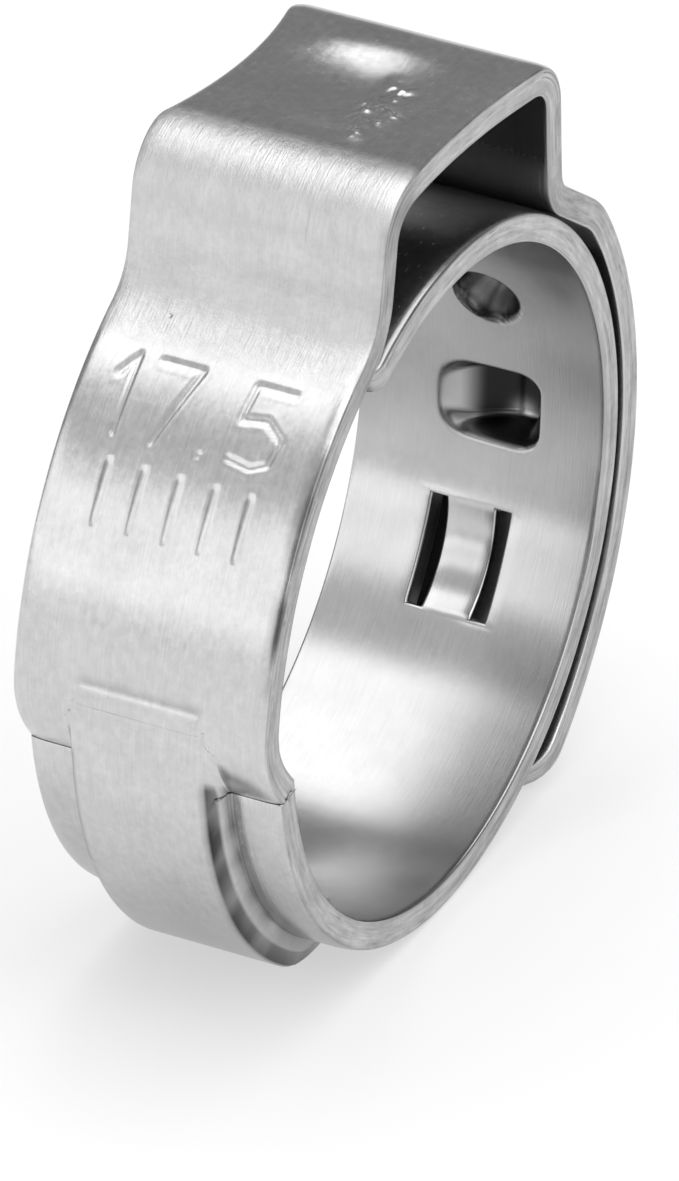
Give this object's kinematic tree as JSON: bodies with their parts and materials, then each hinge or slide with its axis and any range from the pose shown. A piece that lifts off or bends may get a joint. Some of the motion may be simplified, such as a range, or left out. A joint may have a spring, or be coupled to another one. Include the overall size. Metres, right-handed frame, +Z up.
{
  "type": "ear hose clamp",
  "caption": "Stepless single-ear hose clamp folded from one stainless strip, lapped over pressed hooks, crimped at its ear to close a hose onto a spigot.",
  "frame": {"origin": "centre of the bore, on its axis and at the middle of the strip's width", "axes": "+Z up as the clamp stands on its round and on the tip of its free end, with the ear on top leaning a few degrees to +X; +Y along the bore axis; +X towards the lap with the hooks"},
  "size_m": [0.0211, 0.007, 0.0226],
  "materials": {
    "strip": "bright mill-finish stainless strip, satin with faint rolling lines"
  },
  "bodies": {
    "root": {"clamp_band": "strip"}
  },
  "joints": []
}
